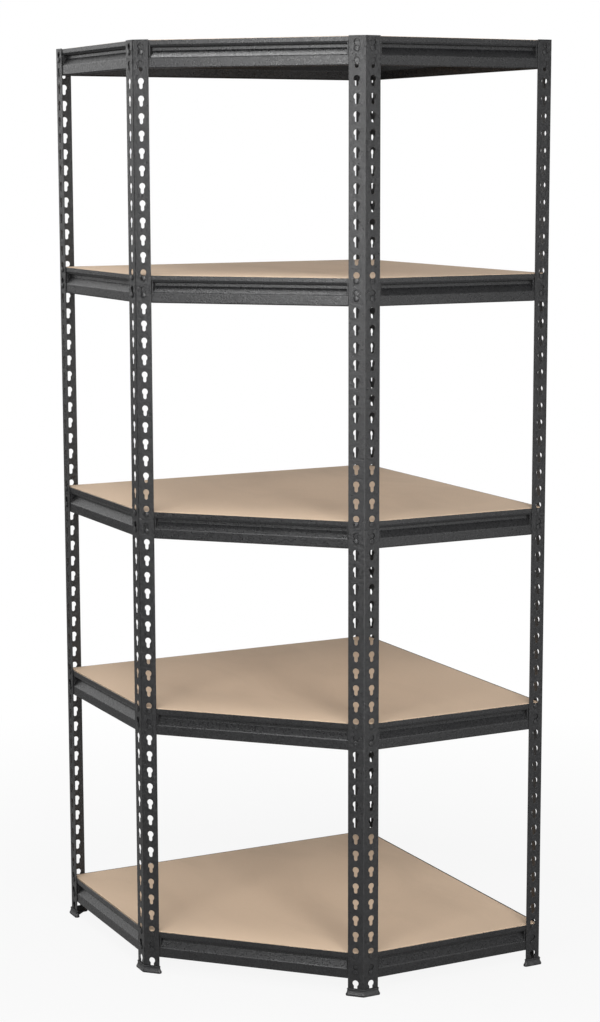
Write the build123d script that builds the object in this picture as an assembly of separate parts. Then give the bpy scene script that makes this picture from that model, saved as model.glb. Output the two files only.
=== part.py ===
from build123d import *
import os

# Boltless corner shelving. Five slotted angle posts stand at the corners of a pentagon:
# two long sides go against the walls, two short ends close them, and a diagonal joins the
# ends across the front. Z is up, the floor is Z = 0, the back corner points to +X +Y, and
# the origin is the middle of the footprint. All lengths are in millimetres.

# Overall plan, measured over the outer faces of the posts
wall_length = 708.0
end_depth = 393.0

# Slotted posts, each made of two equal halves that butt at mid height
slot_pitch = 31.75
slots_per_half = 28
leg_width = 31.0
post_sheet = 1.5
post_bend_radius = 2.0
splice_gap = 0.5

# Keyhole slots: a round head above a narrow neck
slot_from_bend = 16.0
slot_height = 20.0
slot_head_diameter = 12.0
slot_neck_width = 7.0

# Blind oval dimples pressed into the bend, near both ends of each half. The places are in
# slot pitches from the end.
dimple_height = 9.5
dimple_half_width = 1.6
dimple_depth = 0.9
dimple_places = (0.5, 1.25)

# Shelf beams, folded from sheet. The fold depths are measured inwards from the beam's face
# and the drops are measured down from the beam's top edge.
beam_sheet = 1.2
beam_bend_radius = 1.2
face_bend_radius = 4.0
lip_drop = 8.0
roll_depth = 2.0
ledge_drop = 12.5
ledge_depth = 9.0
web_drop = 19.0
foot_flange = 6.0

# How far the upper rivet sits below the top edge, and how far the flat face reaches above
# and below the middle of the lower rivet
upper_rivet_drop = 5.0
face_above_rivet = 5.0
face_below_rivet = 14.0

# Beam ends: the folds are cut away behind the post leg and a flat cleat, welded behind the
# beam's face, carries the rivets. A small end plate closes the folds where they are cut.
beam_setback = 5.2
notch_clearance = 1.8
cleat_thickness = 1.5
cleat_margin = 1.0

# Rivets that hang in the slot necks
rivet_shank_diameter = 6.4
rivet_head_diameter = 10.0
rivet_head_height = 1.8
rivet_head_crown = 0.7
rivet_head_gap = 0.3
rivet_tail_diameter = 9.0
rivet_tail_height = 0.8
rivet_hole_clearance = 0.1

# Boards that drop inside the lips and rest on the ledges
board_thickness = 12.0
board_side_gap = 0.6
board_corner_cut = 3.0
board_edge_radius = 0.8

# Plastic feet pushed over the lower ends of the posts
foot_sole = 5.0
foot_height = 14.0
foot_wall_top = 2.0
foot_wall_base = 4.2
foot_edge_radius = 1.0
foot_socket_gap = 0.2

# Levels, bottom to top: the slot, counted down from the post's top, whose neck takes the
# upper rivet. A level below the top hangs on two slots. The top level is flush with the
# posts and hangs on the first slot alone.
level_slots = (
    2 * slots_per_half - 2,
    slots_per_half + 12,
    slots_per_half,
    slots_per_half - 14,
    1,
)
top_level = len(level_slots)

half_length = slots_per_half * slot_pitch
post_length = 2 * half_length
post_top = foot_sole + post_length
slot_mid_to_head = slot_height / 2 - slot_head_diameter / 2
slot_mid_to_seat = slot_height / 2 - slot_neck_width / 2
lower_rivet_drop = upper_rivet_drop + slot_pitch
face_drop = lower_rivet_drop - face_above_rivet
beam_height = lower_rivet_drop + face_below_rivet
cleat_back = beam_sheet + cleat_thickness
notch_from_corner = leg_width + notch_clearance
cut_margin = 5.0  # how far a punch or a cut reaches past the sheet

half_side = wall_length / 2
corners = {
    "left_end": (-half_side, half_side),
    "left_front": (-half_side, half_side - end_depth),
    "right_front": (half_side - end_depth, -half_side),
    "right_end": (half_side, -half_side),
    "back_corner": (half_side, half_side),
}
corner_names = list(corners)
side_names = ("left_end", "diagonal", "right_end", "right_wall", "left_wall")


def side_ends(index):
    """The two corner points of a side, with the inside of the pentagon on its left."""
    start = corners[corner_names[index]]
    end = corners[corner_names[(index + 1) % len(corner_names)]]
    return Vector(*start), Vector(*end)


def side_direction(index):
    start, end = side_ends(index)
    return (end - start).normalized()


def side_length(index):
    start, end = side_ends(index)
    return (end - start).length


def inward(direction):
    """The direction turned a quarter turn to the left, which is into the pentagon."""
    return Vector(-direction.Y, direction.X)


def offset_lines(points, distance):
    """Points of an open path moved to its left by the distance, with mitred corners."""
    moved = []
    for i, point in enumerate(points):
        ahead = (points[i + 1] - point).normalized() if i + 1 < len(points) else None
        behind = (point - points[i - 1]).normalized() if i > 0 else None
        if ahead is None or behind is None:
            moved.append(point + inward(ahead or behind) * distance)
            continue
        normals = inward(ahead) + inward(behind)
        moved.append(point + normals * (2 * distance / normals.length**2))
    return moved


def folded_strip(points, thickness, radii):
    """A sheet of even thickness to the left of a path, with an inner radius at each bend."""
    back = offset_lines(points, thickness)
    front_radii, back_radii = [], []
    for i, radius in enumerate(radii, start=1):
        turn = (points[i] - points[i - 1]).cross(points[i + 1] - points[i]).Z
        front_radii.append(radius + (thickness if turn > 0 else 0))
        back_radii.append(radius + (thickness if turn < 0 else 0))
    outline = (
        FilletPolyline(*points, radius=front_radii)
        + Line(points[-1], back[-1])
        + FilletPolyline(*reversed(back), radius=back_radii[::-1])
        + Line(back[0], points[0])
    )
    return make_face(outline)


def slot_outline():
    """A keyhole about its own middle, with the neck pointing to -Y."""
    head = Pos(0, slot_mid_to_head) * Circle(slot_head_diameter / 2)
    seat = Pos(0, -slot_mid_to_seat) * Circle(slot_neck_width / 2)
    neck_length = slot_mid_to_head + slot_mid_to_seat
    neck = Pos(0, slot_mid_to_head - neck_length / 2) * Rectangle(slot_neck_width, neck_length)
    return head + neck + seat


def post_legs(index):
    """The corner of a post and the directions of its two legs."""
    corner = Vector(*corners[corner_names[index]])
    return corner, side_direction(index), side_direction(index - 1) * -1


def post_path(index, reach=leg_width, outset=0.0):
    """The post's outer line, tip to corner to tip, moved outwards by the outset."""
    corner, ahead, back = post_legs(index)
    tips = [corner + back * reach, corner, corner + ahead * reach]
    return offset_lines(tips, -outset)


def post_half(index):
    """One slotted angle half with its lower end at Z = 0, before the splice gap is taken off."""
    corner, ahead, back = post_legs(index)
    section = folded_strip(post_path(index), post_sheet, [post_bend_radius])
    half = extrude(section, half_length, dir=(0, 0, 1))
    punch = extrude(slot_outline(), post_sheet + cut_margin, both=True)
    punches = []
    for leg in (ahead, back):
        face = Plane(corner + leg * slot_from_bend, x_dir=leg, z_dir=leg.cross(Vector(0, 0, 1)))
        for slot in range(slots_per_half):
            middle = (slot + 0.5) * slot_pitch
            punches.append(Pos(0, 0, middle) * face.location * punch)
    bisector = (ahead + back).normalized()
    half_angle_sine = abs(bisector.cross(ahead).Z)
    bend_face_depth = (post_bend_radius + post_sheet) * (1 / half_angle_sine - 1)
    oval = SlotOverall(dimple_height, 2 * dimple_half_width * half_angle_sine, rotation=90)
    dimple = extrude(oval, bend_face_depth + dimple_depth)
    corner_face = Plane(corner, x_dir=inward(bisector), z_dir=bisector)
    for place in dimple_places:
        for height in (place * slot_pitch, half_length - place * slot_pitch):
            punches.append(Pos(0, 0, height) * corner_face.location * dimple)
    return half - punches


# The beam's outer line in its own plane: X is the depth inwards, Y is the height. The recess
# is the stretch of it between the lip and the flat face.
recess_line = [
    Vector(0, -lip_drop),
    Vector(roll_depth, -ledge_drop),
    Vector(ledge_depth, -ledge_drop),
    Vector(ledge_depth, -web_drop),
    Vector(0, -face_drop),
]
beam_line = [Vector(0, 0), *recess_line, Vector(0, -beam_height), Vector(foot_flange, -beam_height)]
beam_radii = [beam_bend_radius] * 4 + [face_bend_radius, beam_bend_radius]


def rivet_drops(level):
    """How far each rivet sits below the beam's top edge."""
    if level == top_level:
        return [upper_rivet_drop + slot_pitch / 2]
    return [upper_rivet_drop, lower_rivet_drop]


def beam(length, level):
    """A beam for a side: X runs along the side, Y inwards, Z = 0 is the beam's top edge."""
    clear_length = length - 2 * beam_setback
    section_plane = Plane((beam_setback, 0, 0), x_dir=(0, 1, 0), z_dir=(1, 0, 0))
    section = folded_strip(beam_line, beam_sheet, beam_radii)
    body = extrude(section_plane * section, clear_length, dir=(1, 0, 0))
    plate = make_face(Polyline(*offset_lines(recess_line, beam_sheet / 2), close=True))
    end_plate = extrude(section_plane * plate, cleat_thickness, dir=(1, 0, 0))
    notch_length = notch_from_corner - beam_setback
    cut_depth = ledge_depth + cut_margin
    groove_cut = Box(
        notch_length, 2 * cut_depth, face_drop - lip_drop, align=(Align.MIN, Align.CENTER, Align.MAX)
    )
    back_cut = Box(
        notch_length, cut_depth, beam_height + cut_margin, align=(Align.MIN, Align.MIN, Align.MAX)
    )
    cleat_height = beam_height - 2 * cleat_margin
    cleat = Box(
        notch_length, cleat_thickness, cleat_height, align=(Align.MIN, Align.MIN, Align.MAX)
    )
    for start in (beam_setback, length - notch_from_corner):
        body -= Pos(start, 0, -lip_drop) * groove_cut + Pos(start, beam_sheet, 0) * back_cut
        body += Pos(start, beam_sheet, -cleat_margin) * cleat
    for start in (notch_from_corner, length - notch_from_corner - cleat_thickness):
        body += Pos(start - beam_setback, 0, 0) * end_plate
    hole_diameter = rivet_shank_diameter + 2 * rivet_hole_clearance
    hole = Rot(90, 0, 0) * Cylinder(hole_diameter / 2, 2 * (cleat_back + cut_margin))
    for along in (slot_from_bend, length - slot_from_bend):
        for drop in rivet_drops(level):
            body -= Pos(along, 0, -drop) * hole
    return body


def rivet():
    """A headed rivet about the Y axis: the head is outside the leg, the tail behind the cleat."""
    head_seat = -(post_sheet + rivet_head_gap)
    head_top = head_seat - rivet_head_height
    head_edge = head_top + rivet_head_crown
    tail_end = cleat_back + rivet_tail_height
    head_radius = rivet_head_diameter / 2
    shank_radius = rivet_shank_diameter / 2
    tail_radius = rivet_tail_diameter / 2
    dome = TangentArc((0, head_top), (head_radius, head_edge), tangent=(1, 0))
    outline = dome + Polyline(
        (head_radius, head_edge),
        (head_radius, head_seat),
        (shank_radius, head_seat),
        (shank_radius, cleat_back),
        (tail_radius, cleat_back),
        (tail_radius, tail_end),
        (0, tail_end),
        (0, head_top),
    )
    return revolve(make_face(outline), Axis.Y)


def board():
    """The pentagon panel with its lower face at Z = 0 and its corners clipped."""
    inset = post_sheet + roll_depth + beam_sheet + board_side_gap
    points = []
    for i in range(len(corner_names)):
        corner, ahead, back = post_legs(i)
        half_angle_sine = (ahead - back).length / 2
        bisector = (ahead + back).normalized()
        tip = corner + bisector * (inset / half_angle_sine)
        points += [tip + back * board_corner_cut, tip + ahead * board_corner_cut]
    panel = extrude(make_face(Polyline(*points, close=True)), board_thickness, dir=(0, 0, 1))
    rims = panel.edges().filter_by(Plane.XY)
    return fillet(rims, board_edge_radius)


def foot(index):
    """A flared plastic shoe with a slot that takes the end of the post."""
    shapes = []
    for wall in (foot_wall_base, foot_wall_top):
        path = post_path(index, leg_width + wall, wall)
        shapes.append(folded_strip(path, post_sheet + 2 * wall, [foot_edge_radius]))
    shoe = loft([shapes[0], Pos(0, 0, foot_height) * shapes[1]])
    gap = foot_socket_gap
    socket_path = post_path(index, leg_width + gap, gap)
    socket = folded_strip(socket_path, post_sheet + 2 * gap, [post_bend_radius - gap])
    return shoe - Pos(0, 0, foot_sole) * extrude(socket, foot_height, dir=(0, 0, 1))


def level_top(level):
    """Height of the top edge of a level's beams."""
    slot = level_slots[level - 1]
    slot_middle = post_top - (slot - 0.5) * slot_pitch
    return slot_middle - slot_mid_to_seat + rivet_drops(level)[0]


def save(shape, name):
    shape.label = name
    export_step(shape, f"parts/{name}.step")


def side_frame(index):
    """The place of a side: X along it, Y inwards, Z up from the floor."""
    start = side_ends(index)[0] + inward(side_direction(index)) * post_sheet
    return Plane(start, x_dir=side_direction(index), z_dir=(0, 0, 1)).location


os.makedirs("parts", exist_ok=True)

splice = foot_sole + half_length
splice_cut = Pos(0, 0, splice) * Box(2 * wall_length, 2 * wall_length, splice_gap)
for i, corner_name in enumerate(corner_names):
    angle_half = post_half(i)
    save(Pos(0, 0, foot_sole) * angle_half - splice_cut, f"post_{corner_name}_lower")
    save(Pos(0, 0, splice) * angle_half - splice_cut, f"post_{corner_name}_upper")
    save(foot(i), f"foot_{corner_name}")

panel = board()
headed_rivet = rivet()
for level in range(1, top_level + 1):
    top = level_top(level)
    level_rivets = []
    for i, side_name in enumerate(side_names):
        place = Pos(0, 0, top) * side_frame(i)
        save(place * beam(side_length(i), level), f"beam_{side_name}_level_{level}")
        for along in (slot_from_bend, side_length(i) - slot_from_bend):
            for drop in rivet_drops(level):
                level_rivets.append(place * Pos(along, 0, -drop) * headed_rivet)
    save(Compound(children=level_rivets), f"rivets_level_{level}")
    ledge_top = top - ledge_drop + beam_sheet
    save(Pos(0, 0, ledge_top) * panel, f"board_level_{level}")
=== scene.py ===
"""Boltless corner shelving: five slotted angle posts, riveted beams, fibreboard panels and
plastic feet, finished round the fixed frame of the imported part. Lengths are in metres."""

from math import cos, radians, sin

import bpy
import numpy as np
from mathutils import Matrix, Vector


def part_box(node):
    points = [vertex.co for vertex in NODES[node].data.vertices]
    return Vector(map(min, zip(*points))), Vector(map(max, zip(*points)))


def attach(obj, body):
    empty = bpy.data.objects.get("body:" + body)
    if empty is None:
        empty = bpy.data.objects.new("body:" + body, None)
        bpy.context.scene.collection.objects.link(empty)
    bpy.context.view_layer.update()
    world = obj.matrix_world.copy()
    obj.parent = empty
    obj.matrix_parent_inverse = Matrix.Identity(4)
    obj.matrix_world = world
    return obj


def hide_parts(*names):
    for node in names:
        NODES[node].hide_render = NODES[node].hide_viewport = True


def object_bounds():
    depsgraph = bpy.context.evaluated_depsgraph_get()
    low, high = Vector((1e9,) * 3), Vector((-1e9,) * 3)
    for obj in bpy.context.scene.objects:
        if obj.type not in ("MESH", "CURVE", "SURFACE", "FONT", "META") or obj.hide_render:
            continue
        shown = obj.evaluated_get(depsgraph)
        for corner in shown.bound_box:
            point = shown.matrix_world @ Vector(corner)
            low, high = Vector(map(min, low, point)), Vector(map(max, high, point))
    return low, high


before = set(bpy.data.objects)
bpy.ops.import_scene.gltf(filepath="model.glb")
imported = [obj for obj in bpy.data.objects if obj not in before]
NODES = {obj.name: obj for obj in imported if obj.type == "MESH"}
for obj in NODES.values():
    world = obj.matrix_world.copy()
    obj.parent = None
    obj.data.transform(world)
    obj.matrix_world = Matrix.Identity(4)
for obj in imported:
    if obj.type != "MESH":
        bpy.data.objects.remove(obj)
cad_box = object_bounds()

bl_info = {
    "name": "Boltless corner shelving",
    "version": (1, 0, 0),
    "blender": (4, 5, 0),
    "location": "3D View > Sidebar > Shelving",
    "description": "Finishes the steel, the boards and the feet of a boltless corner shelving unit",
    "category": "Object",
}

CORNERS = ("left_end", "left_front", "right_front", "right_end", "back_corner")

WHITE = (1, 1, 1, 1)
RAYS = 4  # cast for each rounded edge, and for each hollow given painted shade, that a material asks about

# The sockets of a Mix node that carry its amount, its two colours and its result
MIX_AMOUNT, MIX_FIRST, MIX_SECOND, MIX_RESULT = 0, 6, 7, 2

# Each soft panel's place, the point that it faces, and its width and height
PANELS = {
    "overhead": ((-0.7, -0.1, 3.05), (-0.2, -0.1, 1.5), (0.8, 0.9)),
    "left_panel": ((-2.4, -1.95, 1.8), (-0.2, -0.2, 1.7), (1.4, 1.6)),
    "front_panel": ((-0.35, -3.25, 1.2), (0.0, 0.0, 1.2), (0.7, 2.3)),
    "front_high": ((-1.0, -3.2, 3.0), (0.0, 0.0, 0.8), (2.4, 1.2)),
    "right_panel": ((1.4, -3.0, 1.2), (0.1, -0.3, 1.2), (0.8, 2.3)),
}


def nodes_named(prefix):
    """The CAD nodes whose names start with the prefix, in order of name."""
    return [NODES[name] for name in sorted(NODES) if name.startswith(prefix)]


# Node building blocks


class Nodes:
    """A node tree under construction."""

    def __init__(self, tree):
        self.tree = tree
        tree.nodes.clear()

    def add(self, kind, **settings):
        node = self.tree.nodes.new(kind)
        for key, value in settings.items():
            setattr(node, key, value)
        return node

    def link(self, source, target):
        self.tree.links.new(source, target)

    def supply(self, socket, value):
        """Links the socket to another node's output, or sets it to a constant."""
        if isinstance(value, bpy.types.NodeSocket):
            self.link(value, socket)
        else:
            socket.default_value = value

    def feed(self, node, **values):
        """Supplies inputs by name, with spaces written as underscores."""
        for key, value in values.items():
            self.supply(node.inputs[key.replace("_", " ")], value)

    def remap(self, value, low, high, to_low, to_high):
        """Carries low to to_low and high to to_high, and stays there outside them."""
        node = self.add("ShaderNodeMapRange")
        self.feed(node, Value=value, From_Min=low, From_Max=high)
        self.feed(node, To_Min=to_low, To_Max=to_high)
        return node.outputs["Result"]

    def math(self, operation, first, second):
        node = self.add("ShaderNodeMath", operation=operation, use_clamp=True)
        self.supply(node.inputs[0], first)
        self.supply(node.inputs[1], second)
        return node.outputs["Value"]

    def mix(self, amount, first, second):
        """A colour between the first, at amount 0, and the second, at amount 1."""
        node = self.add("ShaderNodeMix", data_type="RGBA")
        self.supply(node.inputs[MIX_AMOUNT], amount)
        self.supply(node.inputs[MIX_FIRST], first)
        self.supply(node.inputs[MIX_SECOND], second)
        return node.outputs[MIX_RESULT]

    def dot(self, first, second):
        """The dot product of two vectors."""
        node = self.add("ShaderNodeVectorMath", operation="DOT_PRODUCT")
        self.supply(node.inputs[0], first)
        self.supply(node.inputs[1], second)
        return node.outputs["Value"]

    def height_of(self, vector):
        """The vector's Z."""
        split = self.add("ShaderNodeSeparateXYZ")
        self.link(vector, split.inputs[0])
        return split.outputs["Z"]

    def choose(self, amount, first, second):
        """A shader that is the first at amount 0 and the second at amount 1."""
        node = self.add("ShaderNodeMixShader")
        for socket, value in zip(node.inputs, (amount, first, second)):
            self.link(value, socket)
        return node.outputs["Shader"]


class Surface(Nodes):
    """A material under construction. Patterns are in Object coordinates, in metres."""

    def __init__(self, name):
        self.material = bpy.data.materials.new(name)
        self.material.use_nodes = True
        super().__init__(self.material.node_tree)
        self.output = self.add("ShaderNodeOutputMaterial")
        self.shader = self.add("ShaderNodeBsdfPrincipled")
        self.link(self.shader.outputs["BSDF"], self.output.inputs["Surface"])
        self.place = self.add("ShaderNodeTexCoord").outputs["Object"]
        self.face_normal = self.add("ShaderNodeNewGeometry").outputs["Normal"]

    def stretched(self, scale):
        """Object coordinates scaled along each axis, for a pattern that runs one way."""
        mapping = self.add("ShaderNodeMapping")
        self.feed(mapping, Vector=self.place, Scale=scale)
        return mapping.outputs["Vector"]

    def noise(self, size, detail=3.0, roughness=0.55, distortion=0.0, place=None):
        """Cloudy noise round 0.5, whose blotches are about as large as the size."""
        node = self.add("ShaderNodeTexNoise")
        self.feed(node, Vector=place or self.place, Scale=1 / size, Detail=detail)
        self.feed(node, Roughness=roughness, Distortion=distortion)
        return node.outputs["Fac"]

    def rounded(self, radius):
        """The normal of the surface with its edges rounded over by the radius."""
        node = self.add("ShaderNodeBevel", samples=RAYS)
        self.feed(node, Radius=radius)
        return node.outputs["Normal"]

    def edges(self, rounded_normal):
        """0 on flats, rising to 1 where the rounded normal leaves the true one, at edges."""
        agreement = self.dot(rounded_normal, self.face_normal)
        flat, worn = 0.995, 0.75
        return self.remap(agreement, flat, worn, 0.0, 1.0)

    def hollows(self, reach):
        """The amount of painted shade: 1 deep in narrow hollows such as pressed dimples, 0 on open
        faces.
        """
        node = self.add("ShaderNodeAmbientOcclusion", samples=RAYS)
        self.feed(node, Distance=reach)
        shut, clear = 0.62, 0.92
        return self.remap(node.outputs["AO"], shut, clear, 1.0, 0.0)

    def bump(self, height, distance, normal):
        node = self.add("ShaderNodeBump")
        self.feed(node, Height=height, Distance=distance, Normal=normal)
        return node.outputs["Normal"]

    def level(self):
        """1 on faces that look straight up or down, falling to 0 on upright ones."""
        rise = self.height_of(self.face_normal)
        return self.math("MULTIPLY", rise, rise)


def finish_nodes(objects, material):
    """Gives the material to objects whose shape is already right."""
    for item in objects:
        item.data.materials.clear()
        item.data.materials.append(material)


# Materials


def powder_coat(name, look, grain, roughness):
    """Charcoal powder coat: speckled film with orange peel, paler over edges as thin coat and as a
    painted highlight, and darkened deep in hollows as painted shade.
    """
    coat = Surface(name)
    speckle = coat.noise(look.speckle_size * grain, detail=4.0, roughness=0.65)
    peel = coat.noise(look.peel_size * grain, detail=2.0)
    clouds = coat.noise(look.cloud_size, detail=3.0, distortion=0.6)
    soft_normal = coat.rounded(look.edge_radius)
    film = coat.mix(coat.remap(speckle, 0.44, 0.68, 0, 1), look.coat_dark, look.coat_light)
    film = coat.mix(coat.remap(peel, 0.5, 0.72, 0, 0.6), film, look.coat_light)
    film = coat.mix(coat.remap(clouds, 0.35, 0.7, 0, 0.4), film, look.coat_dark)
    # Painted highlight and wear: the coat turns paler along folds and cut edges, partly as thin
    # coat, partly standing in for highlights on the rims.
    edge = coat.math("MULTIPLY", coat.edges(soft_normal), coat.remap(clouds, 0.3, 0.6, 0.5, 1))
    film = coat.mix(coat.math("MULTIPLY", edge, look.edge_wear_and_highlight), film, look.edge_wear_and_highlight_colour)
    # Painted shade: the coat is darkened towards a near black, and dulled, deep in dimples and
    # slots where shade falls.
    hollow = coat.hollows(look.hollow_shade_reach)
    film = coat.mix(hollow, film, look.hollow_shade_colour)
    gloss = coat.remap(peel, 0.3, 0.7, roughness - 0.08, roughness + 0.1)
    gloss = coat.math("MAXIMUM", gloss, hollow)
    height = coat.mix(0.4, peel, speckle)
    relief = coat.bump(height, look.peel_depth * grain**2, soft_normal)
    coat.feed(coat.shader, Base_Color=film, Roughness=gloss, Normal=relief)
    coat.feed(coat.shader, IOR=look.coat_ior)
    return coat.material


def fibreboard(look):
    """Raw fibreboard: smooth pressed faces with fine fibres and broad darker smears of painted
    shade, and coarser sawn edges.
    """
    board = Surface("raw_fibreboard")
    fibre = board.noise(look.fibre_size, detail=6.0, roughness=0.7, distortion=0.4)
    lengthways = board.stretched((1.0, 0.35, 1.0))
    strand = board.noise(look.strand_size, detail=5.0, roughness=0.6, place=lengthways)
    # Painted shade: broad darker smears across the face stand in for soft shadows.
    swept = board.stretched((1.0, 0.45, 1.0))
    shade_smear = board.noise(look.shade_smear_size, detail=3.0, distortion=1.2, place=swept)
    layered = board.stretched((0.6, 0.6, 2.5))
    core = board.noise(look.core_size, detail=5.0, roughness=0.7, place=layered)
    flat = board.level()
    face = board.mix(board.remap(fibre, 0.35, 0.68, 0, 1), look.board_dark, look.board_light)
    face = board.mix(board.remap(strand, 0.55, 0.75, 0, 0.4), face, look.board_dark)
    face = board.mix(board.remap(shade_smear, 0.48, 0.8, 0, 0.45), face, look.board_shade_smear)
    sawn = board.mix(board.remap(core, 0.35, 0.65, 0, 1), look.board_core, look.board_light)
    colour = board.mix(flat, sawn, face)
    height = board.mix(flat, core, fibre)
    relief = board.bump(height, look.fibre_depth, board.rounded(look.edge_radius))
    rough = board.remap(fibre, 0.3, 0.7, 0.72, 0.9)
    board.feed(board.shader, Base_Color=colour, Roughness=rough, Normal=relief)
    board.feed(board.shader, IOR=look.board_ior)
    return board.material


def moulded_plastic(look):
    """Black moulded plastic with a fine grain, scuffed paler towards the floor."""
    plastic = Surface("moulded_black_plastic")
    grain = plastic.noise(look.foot_grain_size, detail=3.0)
    scuff = plastic.noise(look.foot_scuff_size, detail=4.0, distortion=0.8)
    height = plastic.height_of(plastic.place)
    low = plastic.remap(height, 0.0, look.foot_scuff_height, 1.0, 0.0)
    worn = plastic.math("MULTIPLY", low, plastic.remap(scuff, 0.5, 0.7, 0.0, 0.8))
    colour = plastic.mix(worn, look.foot_colour, look.foot_scuffed)
    relief = plastic.bump(grain, look.foot_grain_depth, plastic.rounded(look.edge_radius))
    rough = plastic.remap(scuff, 0.35, 0.65, 0.38, 0.55)
    plastic.feed(plastic.shader, Base_Color=colour, Roughness=rough, Normal=relief)
    return plastic.material


def pale_floor(stage):
    """A painted studio floor that fades into the plain backdrop with distance.

    The eye sees the lit floor mixed with plain white: mostly white near the shelving, so
    that its shadow stays faint, and wholly white where the fade ends. Light that bounces
    meets the paint alone.
    """
    floor = Surface("studio_floor")
    clouds = floor.noise(stage.floor_cloud_size, detail=2.0)
    clouded = [channel * stage.floor_cloud_tone for channel in stage.floor_colour[:3]] + [1.0]
    tone = floor.mix(floor.remap(clouds, 0.3, 0.7, 0, 1), stage.floor_colour, clouded)
    floor.feed(floor.shader, Base_Color=tone, Roughness=stage.floor_roughness)
    distance = floor.add("ShaderNodeVectorMath", operation="LENGTH")
    floor.link(floor.place, distance.inputs[0])
    fade = floor.remap(
        distance.outputs["Value"], stage.floor_near, stage.floor_far, stage.floor_white, 1.0
    )
    path = floor.add("ShaderNodeLightPath")
    seen = floor.math("MULTIPLY", fade, path.outputs["Is Camera Ray"])
    plain = floor.add("ShaderNodeEmission")
    floor.feed(plain, Color=WHITE, Strength=stage.backdrop)
    mixed = floor.choose(seen, floor.shader.outputs["BSDF"], plain.outputs["Emission"])
    floor.link(mixed, floor.output.inputs["Surface"])
    return floor.material


# Shapes


def corner_plan():
    """Each post's corner, with the directions of its two legs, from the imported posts.

    A side runs from one corner to the next, round the pentagon. The square posts give
    their corner as a corner of their box, and the two open ones stand a leg's width
    from the end of their box.
    """
    boxes = {name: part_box(f"post_{name}_lower") for name in CORNERS}
    leg = boxes["back_corner"][1].x - boxes["back_corner"][0].x
    left, right = boxes["left_end"][0].x, boxes["right_end"][1].x
    back, front = boxes["left_end"][1].y, boxes["right_end"][0].y
    points = {
        "left_end": (left, back),
        "left_front": (left, boxes["left_front"][1].y - leg),
        "right_front": (boxes["right_front"][1].x - leg, front),
        "right_end": (right, front),
        "back_corner": (right, back),
    }
    corners = np.array([points[name] for name in CORNERS])
    ahead = np.roll(corners, -1, axis=0) - corners
    ahead /= np.linalg.norm(ahead, axis=1, keepdims=True)
    return {
        name: (corners[i], ahead[i], -ahead[i - 1], leg) for i, name in enumerate(CORNERS)
    }


def left_of(direction):
    """Plan directions turned a quarter turn to the left, which is into the pentagon."""
    return np.stack([-direction[..., 1], direction[..., 0]], axis=-1)


def strip_outline(corner, ahead, back, leg, sheet, radius, steps):
    """Closed outline of a folded strip in plan, with rounded corners and its outward normals.

    The strip follows tip, corner, tip. Its outer line is those three points and its inner
    line is them moved inwards by the sheet, mitred at the fold. Each of the six corners is
    an arc: the middle of the arc stands back from the corner along the bisector, and the
    normal turns evenly from one side's normal to the next.
    """
    tips = np.array([corner + back * leg, corner, corner + ahead * leg])
    inward = left_of(np.array([-back, ahead]))
    fold = inward.sum(axis=0)
    shifts = np.array([inward[0], 2 * fold / (fold @ fold), inward[1]]) * sheet
    ring = np.concatenate([tips, (tips + shifts)[::-1]])
    along = np.roll(ring, -1, axis=0) - ring
    along /= np.linalg.norm(along, axis=1, keepdims=True)
    after = -left_of(along)
    before = np.roll(after, 1, axis=0)
    share = np.linspace(0, 1, steps)[None, :, None]
    normals = before[:, None] * (1 - share) + after[:, None] * share
    normals /= np.linalg.norm(normals, axis=2, keepdims=True)
    middle = before + after
    miter = middle / (1 + (before * after).sum(axis=1))[:, None]
    turn = before[:, 0] * after[:, 1] - before[:, 1] * after[:, 0]
    bend = np.where(turn > 0, radius, -radius)[:, None]
    arcs = (ring - miter * bend)[:, None] + normals * bend[:, None]
    return arcs.reshape(-1, 2), normals.reshape(-1, 2)


def foot_mesh(name, corner, ahead, back, leg, look):
    """A moulded shoe: its profile carried round the outline of the post's end.

    Each point of the surface is a point of the outline, moved outwards by the profile's
    offset and raised to the profile's height. The profile goes from the underside's rim up
    a short sole, in a hollow flare to a rounded collar, over it and down to the seat in
    the socket, where the post ends.
    """
    outline, normals = strip_outline(
        corner, ahead, back, leg, look.post_sheet, look.foot_corner_radius, look.foot_corner_steps
    )
    low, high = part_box(name)[0].z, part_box(name)[1].z
    sole, collar, gap = look.foot_sole_rim, look.foot_collar, look.foot_socket_gap
    rise = np.linspace(0, 1, look.foot_flare_steps)
    base, top = look.foot_base_reach, look.foot_top_reach
    flare_reach = top + (base - top) * (1 - rise) ** look.foot_flare_curve
    flare_height = low + sole + (high - collar - low - sole) * rise
    turn = np.linspace(-np.pi / 2, np.pi / 2, look.foot_flare_steps)
    collar_reach = top + look.foot_collar_bulge * np.cos(turn)
    collar_height = high - collar / 2 + collar / 2 * np.sin(turn)
    chamfer = look.foot_sole_chamfer
    reach = np.concatenate([[base - chamfer, base], flare_reach, collar_reach, [gap, gap]])
    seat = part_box(name.replace("foot_", "post_") + "_lower")[0].z
    height = np.concatenate([[low, low + chamfer], flare_height, collar_height, [high, seat]])
    around, rings = len(outline), len(reach)
    grid = np.zeros((rings, around, 3))
    grid[..., :2] = outline[None] + normals[None] * reach[:, None, None]
    grid[..., 2] = height[:, None]
    here = np.arange(around)
    beside = np.roll(here, -1)
    ring = np.arange(rings - 1)[:, None] * around
    above = ring + around
    quads = np.stack([ring + here, ring + beside, above + beside, above + here], axis=-1)
    caps = [here[::-1].tolist(), (here + (rings - 1) * around).tolist()]
    mesh = bpy.data.meshes.new(f"{name}_moulding")
    mesh.from_pydata(grid.reshape(-1, 3), [], quads.reshape(-1, 4).tolist() + caps)
    mesh.update()
    return mesh


# Settings


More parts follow.
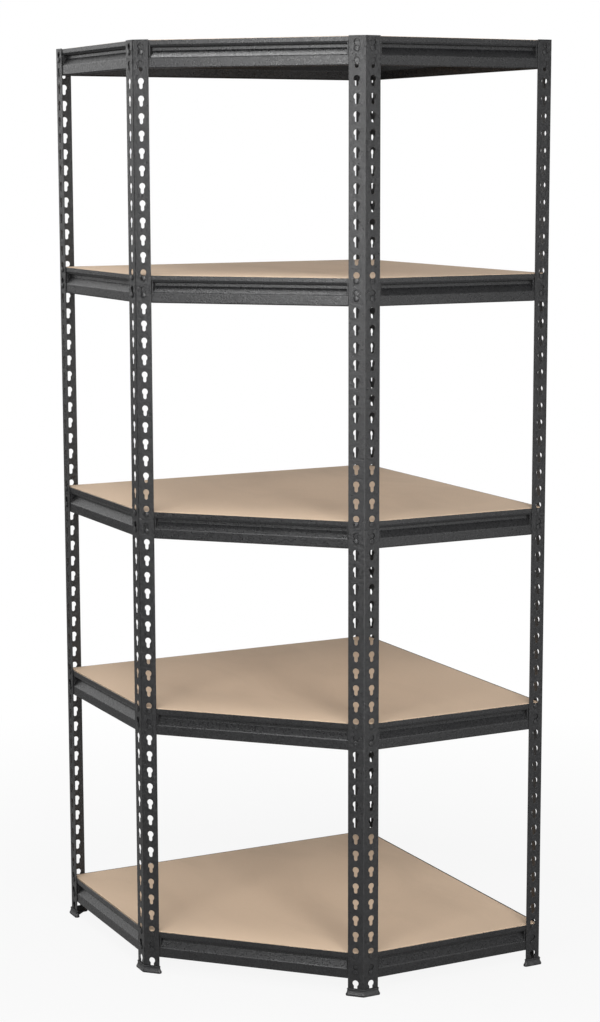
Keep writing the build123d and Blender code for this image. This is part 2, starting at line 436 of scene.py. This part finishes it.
def colour(name, description, value):
    """A colour setting, with an opaque alpha."""
    return bpy.props.FloatVectorProperty(
        name=name,
        description=description,
        size=4,
        subtype="COLOR",
        min=0,
        max=1,
        default=(*value, 1),
    )


def length(name, description, value):
    """A length setting in metres."""
    return bpy.props.FloatProperty(
        name=name, description=description, default=value, min=0, unit="LENGTH", precision=5
    )


def power(name, description, value):
    """The power of a light in watts."""
    return bpy.props.FloatProperty(
        name=name, description=description, default=value, min=0, unit="POWER"
    )


def number(name, description, value):
    """A setting without a unit."""
    return bpy.props.FloatProperty(name=name, description=description, default=value, min=0)


def count(name, description, value):
    """A number of points or rings, at least two."""
    return bpy.props.IntProperty(name=name, description=description, default=value, min=2)


def angle(name, description, degrees):
    """An angle setting, given here in degrees."""
    return bpy.props.FloatProperty(
        name=name, description=description, default=radians(degrees), unit="ROTATION"
    )


class SHELF_PG_look(bpy.types.PropertyGroup):
    """Sizes and colours of the shelving's finishes."""

    coat_dark: colour("Coat", "Charcoal powder coat", (0.0048, 0.0049, 0.0053))
    coat_light: colour("Coat speckle", "Paler specks in the coat", (0.0195, 0.0196, 0.0208))
    # Painted highlight and wear: a paler coat over folds and cut edges, and how strongly it shows.
    edge_wear_and_highlight_colour: colour("Coat at edges", "Thin coat over folds and cut edges", (0.11, 0.11, 0.115))
    edge_wear_and_highlight: number("Edge wear", "How much paler the coat is over edges", 0.55)
    post_roughness: number("Post roughness", "Middle roughness of the posts' coat", 0.35)
    beam_roughness: number("Beam roughness", "Middle roughness of the beams and rivets", 0.31)
    post_grain: number("Post grain", "How coarse the posts' coat is", 1.45)
    beam_grain: number("Beam grain", "How coarse the beams' coat is", 0.85)
    rivet_grain: number("Rivet grain", "How coarse the rivets' coat is", 0.6)
    coat_ior: number("Coat index", "Refractive index of the powder coat", 1.5)
    speckle_size: length("Speckle size", "Size of the coat's specks", 0.0014)
    peel_size: length("Peel size", "Size of the coat's orange peel", 0.0042)
    cloud_size: length("Cloud size", "Size of the coat's uneven patches", 0.055)
    peel_depth: length("Orange peel", "Depth of the coat's orange peel", 0.0006)
    edge_radius: length("Edge radius", "How far edges are rounded over", 0.0005)
    # Painted shade: the dark colour laid deep in dimples and slots, and how wide such hollows are.
    hollow_shade_colour: colour("Hollows", "Coat deep in dimples and slots", (0.002, 0.002, 0.002))
    hollow_shade_reach: length("Hollow reach", "Width of the hollows that look dull", 0.0028)
    board_light: colour("Board", "Pressed face of the fibreboard", (0.615, 0.47, 0.342))
    board_dark: colour("Board fibres", "Darker fibres in the face", (0.505, 0.38, 0.27))
    # Painted shade: the colour of the darker smears that stand in for soft shadows on the face.
    board_shade_smear: colour("Board smears", "Faint broad smears on the face", (0.44, 0.332, 0.238))
    board_core: colour("Board core", "Sawn edge of the fibreboard", (0.40, 0.29, 0.19))
    board_ior: number("Board index", "Refractive index of the board's face", 1.4)
    fibre_size: length("Fibre size", "Size of the fine fibres", 0.0011)
    strand_size: length("Strand size", "Size of the darker strands", 0.004)
    # Painted shade: the size of those smears.
    shade_smear_size: length("Smear size", "Size of the broad smears", 0.16)
    core_size: length("Core size", "Size of the crumbs in the sawn edge", 0.0016)
    fibre_depth: length("Fibre depth", "Relief of the board's fibres", 0.00012)
    foot_colour: colour("Foot", "Black moulded plastic", (0.012, 0.012, 0.013))
    foot_scuffed: colour("Foot scuffs", "Scuffed plastic near the floor", (0.06, 0.06, 0.06))
    foot_grain_size: length("Foot grain size", "Size of the moulded grain", 0.0007)
    foot_scuff_size: length("Foot scuff size", "Size of the scuffs", 0.006)
    foot_grain_depth: length("Foot grain", "Depth of the moulded grain", 0.00006)
    foot_scuff_height: length("Scuff height", "How high the scuffs reach", 0.012)
    post_sheet: length("Post sheet", "Thickness of the post's steel", 0.0015)
    foot_sole_rim: length("Sole", "Upright edge at the bottom of a foot", 0.0032)
    foot_sole_chamfer: length("Sole chamfer", "Chamfer round the underside", 0.0005)
    foot_collar: length("Collar", "Height of the collar at the top of a foot", 0.0028)
    foot_collar_bulge: length("Collar bulge", "How far the collar stands out", 0.0006)
    foot_base_reach: length("Base reach", "How far the sole stands out from the post", 0.0042)
    foot_top_reach: length("Top reach", "How far the wall stands out below the collar", 0.0013)
    foot_socket_gap: length("Socket gap", "Gap between the post and its socket", 0.0002)
    foot_corner_radius: length("Corner radius", "Radius of the outline's corners", 0.0004)
    foot_flare_curve: number("Flare curve", "How hollow the flare is, 1 being straight", 1.8)
    foot_corner_steps: count("Corner steps", "Points round each corner of a foot", 5)
    foot_flare_steps: count("Flare steps", "Rings in the flare and in the collar", 9)


class SHELF_PG_stage(bpy.types.PropertyGroup):
    """The studio: floor, sky, lights and camera."""

    floor_size: length("Floor", "Width of the studio floor", 14.0)
    floor_colour: colour("Floor paint", "Pale floor", (0.4, 0.4, 0.4))
    floor_cloud_size: length("Floor clouds", "Size of the floor's faint clouds", 0.6)
    floor_cloud_tone: number("Cloud tone", "How light the clouds are against the floor", 0.97)
    floor_roughness: number("Floor roughness", "Roughness of the floor's paint", 0.85)
    floor_gap: length("Floor gap", "How far the floor lies below the feet", 0.0002)
    floor_white: number("Floor white", "How far the near floor is whitened to the eye", 0.9)
    floor_near: length("Fade start", "Distance at which the floor starts to fade", 0.7)
    floor_far: length("Fade end", "Distance at which the floor is plain white", 2.0)
    backdrop: number("Backdrop", "Brightness of the plain backdrop", 1.0)
    sky_high: number("Sky", "Light from straight above", 0.3)
    sky_back: number("Back wall", "Light from the level of the horizon, behind", 1.7)
    sky_front: number("Front wall", "Light from the level of the horizon, in front", 0.1)
    sky_low: number("Ground", "Light from below the horizon", 0.05)
    overhead: power("Overhead", "Soft light above and to the left", 23)
    left_panel: power("Left panel", "Soft panel at the front left, level with the top", 58)
    front_panel: power("Front panel", "Tall soft panel in front", 58)
    front_high: power("High front panel", "Strong soft panel, high in front", 62)
    right_panel: power("Right panel", "Weak tall panel at the right", 13)
    camera_place: bpy.props.FloatVectorProperty(
        name="Camera",
        description="Place of the camera",
        default=(-1.993, -3.956, 1.562),
        unit="LENGTH",
    )
    camera_turn: angle("Turn", "Bearing from +Y", 26.83)
    camera_tilt: angle("Tilt", "Tilt below the horizon", 8.77)
    camera_roll: angle("Roll", "Roll about the view", -0.14)
    camera_lens: bpy.props.FloatProperty(
        name="Lens", description="Focal length on a 36 mm sensor", default=79.86, unit="CAMERA"
    )


# Operators


class SHELF_OT_posts(bpy.types.Operator):
    """Finish the slotted posts in coarse speckled powder coat"""

    bl_idname = "shelf.posts"
    bl_label = "Posts"

    def execute(self, context):
        look = context.scene.shelf_look
        coat = powder_coat("post_powder_coat", look, look.post_grain, look.post_roughness)
        finish_nodes(nodes_named("post_"), coat)
        return {"FINISHED"}


class SHELF_OT_beams(bpy.types.Operator):
    """Finish the folded beams in fine powder coat"""

    bl_idname = "shelf.beams"
    bl_label = "Beams"

    def execute(self, context):
        look = context.scene.shelf_look
        coat = powder_coat("beam_powder_coat", look, look.beam_grain, look.beam_roughness)
        finish_nodes(nodes_named("beam_"), coat)
        return {"FINISHED"}


class SHELF_OT_rivets(bpy.types.Operator):
    """Finish the rivets that hang in the slots"""

    bl_idname = "shelf.rivets"
    bl_label = "Rivets"

    def execute(self, context):
        look = context.scene.shelf_look
        coat = powder_coat("rivet_powder_coat", look, look.rivet_grain, look.beam_roughness)
        finish_nodes(nodes_named("rivets_"), coat)
        return {"FINISHED"}


class SHELF_OT_boards(bpy.types.Operator):
    """Finish the fibreboard panels"""

    bl_idname = "shelf.boards"
    bl_label = "Boards"

    def execute(self, context):
        look = context.scene.shelf_look
        finish_nodes(nodes_named("board_"), fibreboard(look))
        return {"FINISHED"}


class SHELF_OT_feet(bpy.types.Operator):
    """Mould the plastic feet round the ends of the posts"""

    bl_idname = "shelf.feet"
    bl_label = "Feet"

    def execute(self, context):
        look = context.scene.shelf_look
        material = moulded_plastic(look)
        for corner_name, (corner, ahead, back, leg) in corner_plan().items():
            name = f"foot_{corner_name}"
            shoe = bpy.data.objects.new(
                f"moulded_{name}", foot_mesh(name, corner, ahead, back, leg, look)
            )
            context.scene.collection.objects.link(shoe)
            shoe.data.materials.append(material)
            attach(shoe, "frame")
            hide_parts(name)
        return {"FINISHED"}


def studio_floor(stage):
    """A square of pale floor just under the feet."""
    half = stage.floor_size / 2
    mesh = bpy.data.meshes.new("floor")
    corners = [(-half, -half, 0), (half, -half, 0), (half, half, 0), (-half, half, 0)]
    mesh.from_pydata(corners, [], [(0, 1, 2, 3)])
    mesh.materials.append(pale_floor(stage))
    floor = bpy.data.objects.new("floor", mesh)
    floor.location.z = cad_box[0].z - stage.floor_gap
    return floor


def soft_panel(name, place, aim, size, watts):
    """A rectangular soft light that faces its aim and that the camera doesn't see."""
    data = bpy.data.lights.new(name, "AREA")
    data.shape = "RECTANGLE"
    data.size, data.size_y = size
    data.energy = watts
    light = bpy.data.objects.new(name, data)
    light.location = place
    light.rotation_euler = (Vector(aim) - Vector(place)).to_track_quat("-Z", "Y").to_euler()
    light.visible_camera = False
    return light


def studio_camera(stage):
    """A level camera turned to its bearing, then tilted down and rolled."""
    data = bpy.data.cameras.new("camera")
    data.lens = stage.camera_lens
    camera = bpy.data.objects.new("camera", data)
    level = Matrix.Rotation(-stage.camera_turn, 4, "Z")
    tilt = Matrix.Rotation(radians(90) - stage.camera_tilt, 4, "X")
    roll = Matrix.Rotation(stage.camera_roll, 4, "Z")
    camera.matrix_world = Matrix.Translation(stage.camera_place) @ level @ tilt @ roll
    return camera


def studio_sky(stage):
    """A plain white backdrop to the eye, and as light a bright back wall and a dim front.

    The wall turns from dim to bright behind the shelving, and blends upwards into the
    light from above and, just under the horizon, into the light from the ground.
    """
    world = bpy.data.worlds.new("studio_sky")
    world.use_nodes = True
    sky = Nodes(world.node_tree)
    direction = sky.add("ShaderNodeTexCoord").outputs["Generated"]
    view = (sin(stage.camera_turn), cos(stage.camera_turn), 0)
    sideways, behind = -0.1, 0.5
    facing = sky.dot(direction, view)
    wall = sky.remap(facing, sideways, behind, stage.sky_front, stage.sky_back)
    ground, horizon, overhead = -0.05, 0.0, 0.9
    rise = sky.height_of(direction)
    upper = sky.remap(rise, horizon, overhead, wall, stage.sky_high)
    strength = sky.remap(rise, ground, horizon, stage.sky_low, upper)
    lit = sky.add("ShaderNodeBackground")
    sky.feed(lit, Color=WHITE, Strength=strength)
    plain = sky.add("ShaderNodeBackground")
    sky.feed(plain, Color=WHITE, Strength=stage.backdrop)
    seen = sky.add("ShaderNodeLightPath").outputs["Is Camera Ray"]
    mixed = sky.choose(seen, lit.outputs["Background"], plain.outputs["Background"])
    output = sky.add("ShaderNodeOutputWorld")
    sky.link(mixed, output.inputs["Surface"])
    return world


class SHELF_OT_stage(bpy.types.Operator):
    """Set up the pale floor, the soft studio light and the camera"""

    bl_idname = "shelf.stage"
    bl_label = "Stage"

    def execute(self, context):
        scene = context.scene
        stage = scene.shelf_stage
        floor = studio_floor(stage)
        scene.collection.objects.link(floor)
        scene.world = studio_sky(stage)
        for name, (place, aim, size) in PANELS.items():
            light = soft_panel(name, place, aim, size, getattr(stage, name))
            scene.collection.objects.link(light)
        scene.camera = studio_camera(stage)
        scene.collection.objects.link(scene.camera)
        scene.view_settings.view_transform = "Standard"
        return {"FINISHED"}


class SHELF_PT_panel(bpy.types.Panel):
    """The shelving's pieces, one button each"""

    bl_idname = "SHELF_PT_panel"
    bl_label = "Corner shelving"
    bl_space_type = "VIEW_3D"
    bl_region_type = "UI"
    bl_category = "Shelving"

    def draw(self, context):
        for operator in OPERATORS:
            self.layout.operator(operator.bl_idname)


OPERATORS = (
    SHELF_OT_stage,
    SHELF_OT_posts,
    SHELF_OT_beams,
    SHELF_OT_rivets,
    SHELF_OT_boards,
    SHELF_OT_feet,
)
GROUPS = (SHELF_PG_look, SHELF_PG_stage)


def register():
    for kind in (*GROUPS, *OPERATORS, SHELF_PT_panel):
        bpy.utils.register_class(kind)
    bpy.types.Scene.shelf_look = bpy.props.PointerProperty(type=SHELF_PG_look)
    bpy.types.Scene.shelf_stage = bpy.props.PointerProperty(type=SHELF_PG_stage)


def unregister():
    del bpy.types.Scene.shelf_look
    del bpy.types.Scene.shelf_stage
    for kind in reversed((*GROUPS, *OPERATORS, SHELF_PT_panel)):
        bpy.utils.unregister_class(kind)


def main():
    """Builds the whole model."""
    register()
    for operator in OPERATORS:
        group, name = operator.bl_idname.split(".")
        getattr(getattr(bpy.ops, group), name)()
    bpy.context.view_layer.update()


if __name__ == "__main__":
    main()
